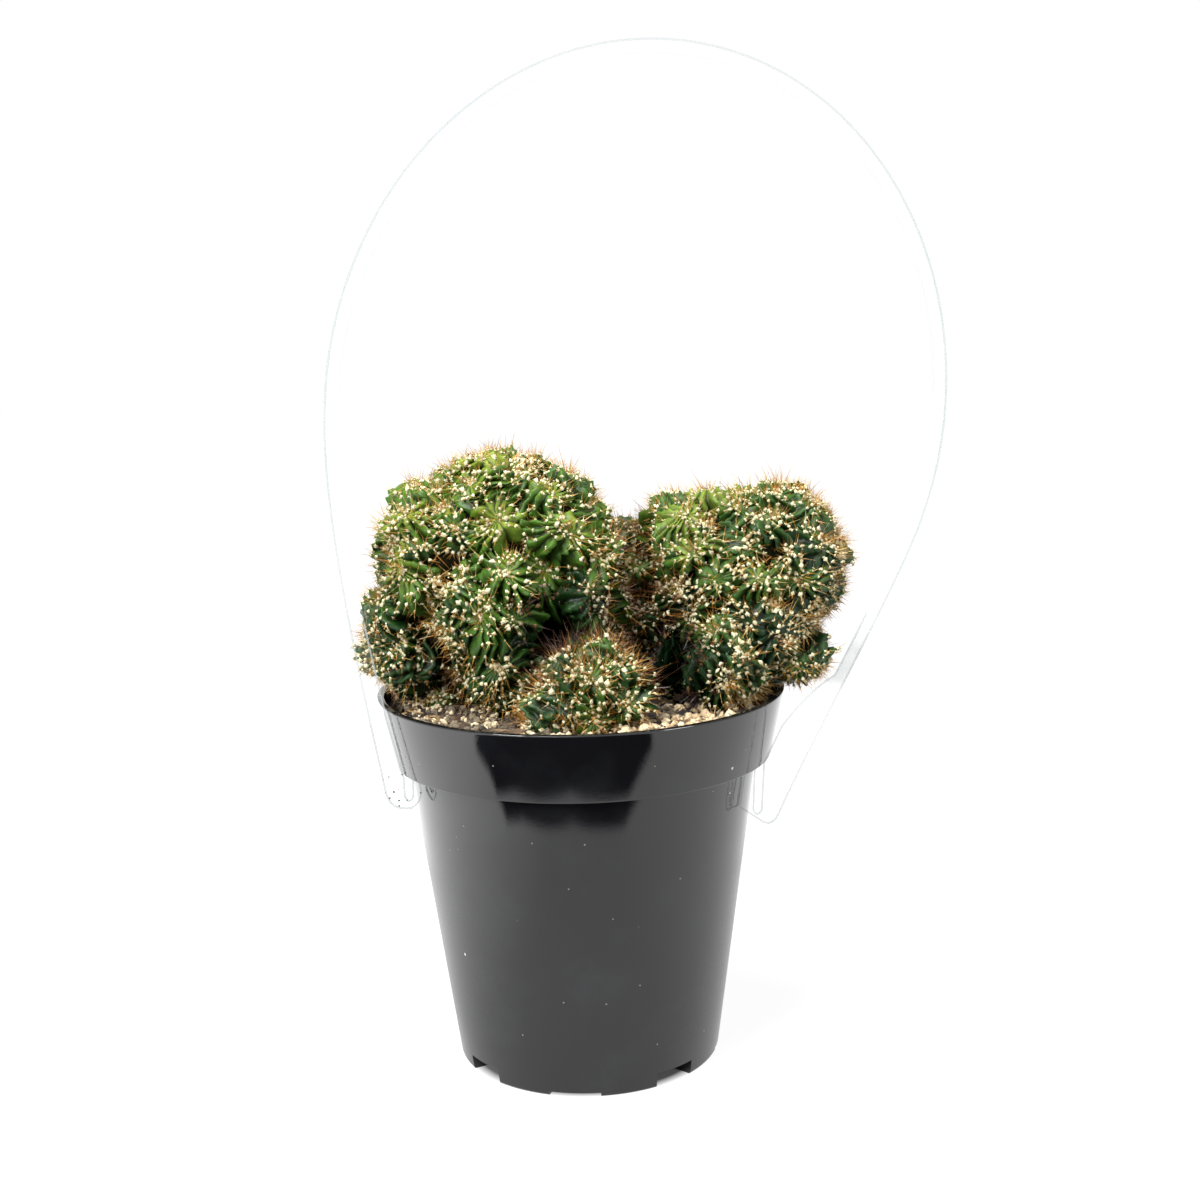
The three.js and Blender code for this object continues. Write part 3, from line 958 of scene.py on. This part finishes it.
def spine_material():
    """Spines from pale straw over gold to dark rust brown by their tone, which also carries painted shade."""
    material, tree, shader, place = new_material("spine_horn")
    ramp = add_node(tree, "ShaderNodeValToRGB")
    stops = ramp.color_ramp.elements
    stops[0].color = (0.66, 0.50, 0.20, 1)
    stops[1].color = (0.030, 0.009, 0.004, 1)
    stops.new(0.38).color = (0.50, 0.23, 0.025, 1)
    stops.new(0.68).color = (0.16, 0.052, 0.010, 1)
    tree.links.new(attribute(tree, "tone"), ramp.inputs["Fac"])
    shade = spread(tree, noise(tree, place, 1200, 2), 0.3, 0.7, 0.75, 1.2)
    dress(tree, shader, {
        "Base Color": darkened(tree, ramp.outputs["Color"], shade),
        "Roughness": 0.4,
    })
    return material


def core_material():
    """Old woody stem between the heads: brown-green and dull, painted nearly black as the shade deep in the
    gaps.
    """
    material, tree, shader, place = new_material("shaded_old_stem")
    cloud = noise(tree, place, 400, 5)
    base = blended(tree, spread(tree, cloud, 0.4, 0.65), (0.003, 0.005, 0.002), (0.014, 0.010, 0.005))
    dress(tree, shader, {"Base Color": base, "Roughness": 0.9, "Specular IOR Level": 0.0})
    bumped(tree, shader, cloud, 0.8, 1 * mm)
    return material


def stem_core(node, inset):
    """The old stem inside the heads: the CAD solid's own points, drawn in along their normals."""
    source = nodes[node].data
    bm = bmesh.new()
    bm.from_mesh(source)
    bmesh.ops.remove_doubles(bm, verts=bm.verts, dist=0.02 * mm)
    bm.normal_update()
    points = np.array([vertex.co[:] for vertex in bm.verts])
    normals = np.array([vertex.normal[:] for vertex in bm.verts])
    faces = np.array([[corner.vert.index for corner in face.loops] for face in bm.faces])
    bm.free()
    deeper = np.clip(3 * mm - clearance(points, node), 0, 9 * mm)
    return points - normals * (inset + deeper)[:, None], faces


wool = wool_material()
horn = spine_material()
# Painted shade: the old stem seen in the gaps between the heads is nearly black.
shaded_old_stem = core_material()
core_inset = 5.2 * mm
filler_sizes = (3.2 * mm, 4.4 * mm)
light_skin = skin_material("skin_light", (0.008, 0.032, 0.005), (0.047, 0.116, 0.008), (0.25, 0.33, 0.030))
blue_skin = skin_material("skin_blue", (0.008, 0.031, 0.007), (0.046, 0.112, 0.013), (0.23, 0.30, 0.028))
front_skin = skin_material("skin_front", (0.012, 0.045, 0.007), (0.088, 0.18, 0.013), (0.30, 0.39, 0.022))

stems = {
    "stem_left": (light_skin, "stem_light", 5.8 * mm, 8.2 * mm),
    "stem_right": (blue_skin, "stem_blue", 5.3 * mm, 7.6 * mm),
    "stem_middle": (blue_skin, "stem_dark", 5.2 * mm, 7.2 * mm),
    "stem_front": (front_skin, "stem_light", 5.1 * mm, 6.8 * mm),
}

for node, (skin, slot, small, large) in stems.items():
    rng = np.random.default_rng(sum(map(ord, node)))
    heads = grow_heads(node, rng, small, large, filler_sizes)
    points, faces, attributes = head_skin(heads)
    piece = put_mesh(node + "_heads", points, faces, skin, attributes=attributes)
    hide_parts(node)
    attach(piece, "root")

    core = put_mesh(node + "_core", *stem_core(node, core_inset), shaded_old_stem)
    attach(core, "root")

    areoles = areole_places(node, heads, rng)
    count = len(areoles["place"])
    hidden = 1 - areoles["open"]
    beads_per_areole = 2
    bead = np.repeat(np.arange(count), beads_per_areole)
    size = np.tile([0.48, 0.38], count) * np.clip(rng.lognormal(0, 0.3, len(bead)), 0.5, 1.8) * mm
    sizes = size[:, None] * np.array([[1, 1, 1.3]]) * rng.uniform(0.75, 1.25, (len(bead), 3))
    beside = rng.normal(0, 0.36 * mm, (len(bead), 3)) * (np.arange(len(bead)) % 2 > 0)[:, None]
    bead_points, bead_faces = copies(
        tuft_shape(),
        areoles["place"][bead] + areoles["outward"][bead] * 0.22 * mm + beside,
        unit(areoles["along"][bead] + rng.normal(0, 0.5, (len(bead), 3))),
        sizes,
        rng.uniform(0, 6.3, len(bead)),
        0.3,
        rng,
    )
    # Painted shade: wool deep in the crevices and in the hollows turns dark; the browner heads (tone above
    # 0.8) are its own colour.
    brown = (0.15 * (areoles["tone"] > 0.8) + 0.55 * hidden**2)[bead]
    bead_tone = np.clip(brown + np.abs(rng.normal(0, 0.18, len(bead))), 0, 1)
    bead_tone = np.maximum(bead_tone, painted_hollow_shade(areoles["place"])[bead])
    corner_tone = {"tone": np.repeat(bead_tone, 6)}
    beads = put_mesh(node + "_areoles", bead_points, bead_faces, wool, attributes=corner_tone)
    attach(beads, "root")

    spines_per_areole = 3
    owner = np.repeat(np.arange(count), spines_per_areole)
    central = np.tile(np.arange(spines_per_areole) == 0, count)
    wide = np.where(central, rng.uniform(0, 0.4, len(owner)), rng.uniform(0.55, 1.2, len(owner)))
    direction = unit(fanned(areoles["outward"][owner], wide, rng) + [0, 0, 0.08])
    deep = hidden[owner]
    reach = np.where(central, rng.uniform(2.4, 6.0, len(owner)), rng.uniform(1.2, 2.8, len(owner))) * mm
    reach *= 1 + 0.6 * deep
    shaded = painted_hollow_shade(areoles["place"])[owner]
    # Painted shade: spines deep in crevices and in the hollows are darkened through their tone.
    spine_tone = np.clip(rng.normal(0.30, 0.2, len(owner)) + 0.8 * deep + shaded, 0, 1)
    at_front = node == "stem_front"
    tuft, tuft_width = (70, 2.2 * mm) if at_front else (20, 1.0 * mm)
    tip_heads = np.repeat(np.arange(len(heads["radius"])), tuft)
    tuft_axis = heads["axis"][tip_heads]
    tuft_level = 0.82
    tuft_base = (
        heads["centre"][tip_heads]
        + tuft_axis * heads["length"][tip_heads][:, None] * tuft_level
        + rng.normal(0, tuft_width, (len(tip_heads), 3))
    )
    tuft_direction = fanned(tuft_axis, rng.uniform(0, 0.8, len(tip_heads)), rng)
    tuft_reach = rng.uniform(2.2, 5.2, len(tip_heads)) * mm
    tuft_reach *= np.where(rng.uniform(size=len(tip_heads)) < 0.16, 1.9, 1.0)
    # Painted shade: tuft spines on hidden heads and in the hollows are darkened.
    tuft_tone = rng.normal(0.44, 0.14, len(tip_heads)) + 0.6 * (1 - heads["open"][tip_heads])
    tuft_tone = np.clip(tuft_tone + 0.16 * at_front + painted_hollow_shade(tuft_base), 0, 1)
    old_spine_count = 900
    old_points, old_normals, _ = surface_samples(node, old_spine_count, rng)
    above_mix = old_points[:, 2] > crust_level + 4 * mm
    old_points, old_normals = old_points[above_mix], old_normals[above_mix]
    old_direction = unit(old_normals + rng.normal(0, 0.75, old_normals.shape))
    old_reach = rng.uniform(5, 9, len(old_points)) * mm
    # Painted shade: old spines in the hollows are darkened.
    old_tone = np.clip(rng.uniform(0.45, 1, len(old_points)) + painted_hollow_shade(old_points), 0, 1)
    all_reach = np.concatenate([reach, tuft_reach, old_reach])
    thickness = rng.uniform(0.06, 0.13, len(all_reach)) * mm
    spine_points, spine_faces = copies(
        spine_shape(),
        np.concatenate([
            areoles["place"][owner] + areoles["outward"][owner] * 0.3 * mm,
            tuft_base,
            old_points - old_normals * 5.4 * mm,
        ]),
        np.concatenate([direction, tuft_direction, old_direction]),
        np.stack([thickness, thickness, all_reach], axis=-1),
        rng.uniform(0, 6.3, len(all_reach)),
    )
    all_tone = {"tone": np.repeat(np.concatenate([spine_tone, tuft_tone, old_tone]), 4)}
    spines = put_mesh(node + "_spines", spine_points, spine_faces, horn, False, all_tone)
    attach(spines, "root")


# Carry hoop
# A flat arch die-cut from thin clear polyester sheet. Its two legs hook over the rim band.
# The faces are almost invisible; the cut edges catch the light and read as a fine grey line.


def sheet_material():
    """Clear sheet: nearly transparent faces with faint haze, a scuff at the right, a few dirt specks
    and a soiled left foot."""
    material, tree, shader, place = new_material("clear_sheet")
    cloud = noise(tree, place, 45, 4)
    haze = spread(tree, cloud, 0.5, 0.72, 0.015, 0.09)
    parts = parted(tree, place)
    low = spread(tree, parts["Z"], 92 * mm, 98 * mm, 1.0, 0.0)
    at_left = worked(tree, "MULTIPLY", low, spread(tree, parts["X"], 0, 1 * mm, 1.0, 0.0))
    foot = worked(tree, "MULTIPLY", at_left, specked(tree, place, 800, 0.24, 0.80))
    dirt = worked(tree, "MAXIMUM", foot, specked(tree, place, 160, 0.06, 0.93))
    from_scuff = distance_from(tree, place, (74 * mm, -24 * mm, 123 * mm))
    scuff = spread(tree, from_scuff, 4 * mm, 15 * mm, 0.30, 0.0)
    scuffed = worked(tree, "MULTIPLY_ADD", scuff, spread(tree, cloud, 0.35, 0.6), haze)
    base = blended(tree, spread(tree, scuff, 0, 0.2), (0.8, 0.82, 0.82), (0.34, 0.37, 0.36))
    dress(tree, shader, {
        "Base Color": blended(tree, dirt, base, (0.1, 0.09, 0.07)),
        "Alpha": worked(tree, "MAXIMUM", scuffed, dirt),
        "Roughness": 0.08,
    })
    return material


def cut_edge_material():
    """The cut edge: grey, where light is caught inside the sheet, stronger in some stretches."""
    material, tree, shader, place = new_material("cut_edge")
    cloud = noise(tree, place, 30, 3)
    tree.links.new(blended(tree, cloud, (0.25, 0.29, 0.30), (0.5, 0.55, 0.56)), shader.inputs["Base Color"])
    seen = spread(tree, cloud, 0.35, 0.7, 0.22, 0.42)
    dress(tree, shader, {
        "Alpha": worked(tree, "MULTIPLY", seen, attribute(tree, "caught")),
        "Roughness": 0.25,
    })
    return material


def sheet_outline():
    """The corners of the CAD sheet's front face, in order, as (x, z), with its depth and thickness."""
    bm = bmesh.new()
    bm.from_mesh(nodes["carry_hoop"].data)
    bmesh.ops.remove_doubles(bm, verts=bm.verts, dist=0.005 * mm)
    bm.normal_update()
    front = [face for face in bm.faces if face.normal.y < -0.9]
    merged = bmesh.ops.dissolve_faces(bm, faces=front, use_verts=False)["region"]
    outline = np.array([corner.vert.co[:] for corner in merged[0].loops])
    depth = outline[:, 1].mean()
    thickness = nodes["carry_hoop"].dimensions.y
    bm.free()
    return outline[:, [0, 2]], depth, thickness


def softened(outline, steps):
    """Puts steps points on each edge between two gentle corners, on the Catmull-Rom curve through
    the corners around it; edges at a sharp corner stay straight."""
    before, after, second = np.roll(outline, 1, 0), np.roll(outline, -1, 0), np.roll(outline, -2, 0)
    inward, onward = unit(outline - before), unit(after - outline)
    bend = np.degrees(np.arccos(np.clip((inward * onward).sum(1), -1, 1)))
    long_enough = np.linalg.norm(after - outline, axis=1) > 2 * mm
    gentle = (bend < 14) & (np.roll(bend, -1) < 14) & long_enough
    share = (np.arange(steps) / steps)[:, None, None]
    curve = 0.5 * (
        2 * outline
        + (after - before) * share
        + (2 * before - 5 * outline + 4 * after - second) * share**2
        + (3 * outline - before - 3 * after + second) * share**3
    )
    keep = gentle[None] | (np.arange(steps)[:, None] == 0)
    return curve.transpose(1, 0, 2)[keep.T]


def drawn_in(outline, distance):
    """The outline moved inwards by distance along the mean of its two edge normals."""
    inward, onward = unit(outline - np.roll(outline, 1, 0)), unit(np.roll(outline, -1, 0) - outline)
    ahead = unit(inward + onward)
    left = np.stack([-ahead[:, 1], ahead[:, 0]], axis=-1)
    x, z = outline.T
    area = (x * np.roll(z, -1) - np.roll(x, -1) * z).sum()
    stretch = 1 / np.clip((ahead * onward).sum(1), 0.6, 1)
    return outline + left * np.sign(area) * distance * stretch[:, None]


nodes["carry_hoop"].data.materials.clear()
nodes["carry_hoop"].data.materials.append(sheet_material())

outline, depth, thickness = sheet_outline()
outline = softened(outline, 4)
edge_width = 0.5 * mm
border = drawn_in(outline, edge_width)
count = len(outline)
window_middle = np.array([17, 193]) * mm
towards_middle = ((border - outline) * (window_middle - outline)).sum(1) > 0
on_legs = outline[:, 1] < 135 * mm
caught = np.where(on_legs, 0.9, np.where(towards_middle, 1.0, 0.2))
lift = 0.01 * mm
levels = [depth - lift, depth + thickness + lift]
strip_points = np.concatenate([
    np.insert(edge, 1, level, axis=1) for level in levels for edge in (outline, border)
])
here = np.arange(count)
following = (here + 1) % count
strip_faces = np.concatenate([
    np.stack([here + a, following + a, following + b, here + b], axis=-1)
    for a, b in ((0, count), (count, 3 * count), (3 * count, 2 * count), (2 * count, 0))
])
edge_light = {"caught": np.tile(caught, 4)}
cut_edge = put_mesh("hoop_cut_edge", strip_points, strip_faces, cut_edge_material(), False, edge_light)
faced_outwards(cut_edge)
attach(cut_edge, "root")


# Floor and light
# A plain white sweep, soft light from above and both front corners, and a dark board held low in
# front of the pot, which the camera does not see but the glossy rim mirrors.


def floor_paper():
    """White paper lit from below, so that it shows no cast shadow, with a painted shadow under the pot's
    foot. In reflections only it is brighter to the left and right, most to the left: a painted reflection in
    the rim.
    """
    material, tree, shader, place = new_material("white_sweep")
    fibre = noise(tree, place, 400, 3)
    dress(tree, shader, {
        "Roughness": spread(tree, fibre, 0.3, 0.7, 0.88, 0.94),
        "Base Color": (0.15, 0.15, 0.15),
        "Specular IOR Level": 0.0,
    })
    side = parted(tree, place)["X"]
    # Painted reflection: extra glow to the left and right, seen by glossy rays only.
    left = spread(tree, side, -60 * mm, -200 * mm, 0.1, 1.4)
    right = spread(tree, side, 50 * mm, 200 * mm, 0.0, 0.35)
    path = add_node(tree, "ShaderNodeLightPath").outputs
    mirrored = worked(tree, "MULTIPLY", worked(tree, "ADD", left, right), path["Is Glossy Ray"])
    far = distance_from(tree, place, (0, 0, 0))
    seen = worked(tree, "ADD", spread(tree, far, 100 * mm, 700 * mm, 0.92, 1.0), mirrored)
    softer = spread(tree, path["Is Diffuse Ray"], 0, 1, 1.0, 0.27)
    # Painted shadow: the paper's glow fades to almost nothing under the pot's foot.
    painted_pot_shadow = spread(tree, far, 35.5 * mm, 39 * mm, 0.03, 1.0)
    given = worked(tree, "MULTIPLY", seen, worked(tree, "MULTIPLY", softer, painted_pot_shadow))
    dress(tree, shader, {"Emission Color": (1, 1, 1), "Emission Strength": given})
    material.cycles.emission_sampling = "NONE"
    return material


def black_card():
    """Matt black card that only mirrors show: the camera and all other light pass through it."""
    material, tree, shader, place = new_material("black_card")
    base = blended(tree, noise(tree, place, 30, 3), (0.002, 0.002, 0.003), (0.02, 0.02, 0.028))
    tree.links.new(base, shader.inputs["Base Color"])
    path = add_node(tree, "ShaderNodeLightPath").outputs
    dress(tree, shader, {
        "Alpha": path["Is Glossy Ray"],
        "Roughness": 0.9,
        "Specular IOR Level": 0.05,
    })
    return material


half_width = 4.0
floor = put_mesh(
    "floor",
    np.array([[-1, -1, 0], [1, -1, 0], [1, 1, 0], [-1, 1, 0]]) * half_width,
    np.array([[0, 1, 2, 3]]),
    floor_paper(),
    smooth=False,
)

# The edge of the board on the pot's side, as (x, y): its mirror image is the dark band on the rim.
near_edge = np.array([
    [-134, -96], [-128, -94], [-111, -98], [-98, -97], [-93, -95], [-76, -110], [-60, -116], [-50, -119],
    [-30, -126], [-14, -131], [0, -129], [22, -126], [48, -120], [60, -124], [75, -127], [89, -130],
]) * mm
card_height = 32 * mm
card_points = np.concatenate([
    np.insert(near_edge, 2, card_height, axis=1),
    np.insert(near_edge * [1.8, 0] + [0, -0.6], 2, card_height, axis=1),
])
steps = np.arange(len(near_edge) - 1)
card_faces = np.stack([steps + len(near_edge), steps + len(near_edge) + 1, steps + 1, steps], axis=-1)
card = put_mesh("dark_board", card_points, card_faces, black_card(), smooth=False)

world = bpy.data.worlds.new("studio")
bpy.context.scene.world = world
world.use_nodes = True
world_tree = world.node_tree
path = add_node(world_tree, "ShaderNodeLightPath").outputs
seen = worked(world_tree, "MULTIPLY_ADD", path["Is Camera Ray"], 0.84, 0.16)
mirrored = worked(world_tree, "MULTIPLY_ADD", path["Is Glossy Ray"], 0.96, seen)
background = world_tree.nodes["Background"]
background.inputs["Color"].default_value = (1, 1, 1, 1)
world_tree.links.new(mirrored, background.inputs["Strength"])


def softbox(name, place, target, size, power):
    """A square area light that looks at target."""
    lamp = bpy.data.lights.new(name, "AREA")
    lamp.size = size
    lamp.energy = power
    holder = bpy.data.objects.new(name, lamp)
    bpy.context.scene.collection.objects.link(holder)
    back = unit(np.array(place) - np.array(target))
    side = unit(np.cross([0, 0, 1], back))
    rise = np.cross(back, side)
    rotation = Matrix([list(row) for row in np.stack([side, rise, back], axis=1)]).to_4x4()
    holder.matrix_world = Matrix.Translation(place) @ rotation


aim = (0, 0, 0.12)
softbox("overhead", (-0.12, -0.15, 0.95), aim, 0.5, 13)
softbox("front_left", (-0.65, -0.75, 0.62), aim, 0.3, 15)
softbox("front_right", (0.8, -0.6, 0.5), aim, 0.3, 6)

bpy.context.scene.view_settings.view_transform = "Standard"
bpy.context.scene.view_settings.look = "None"
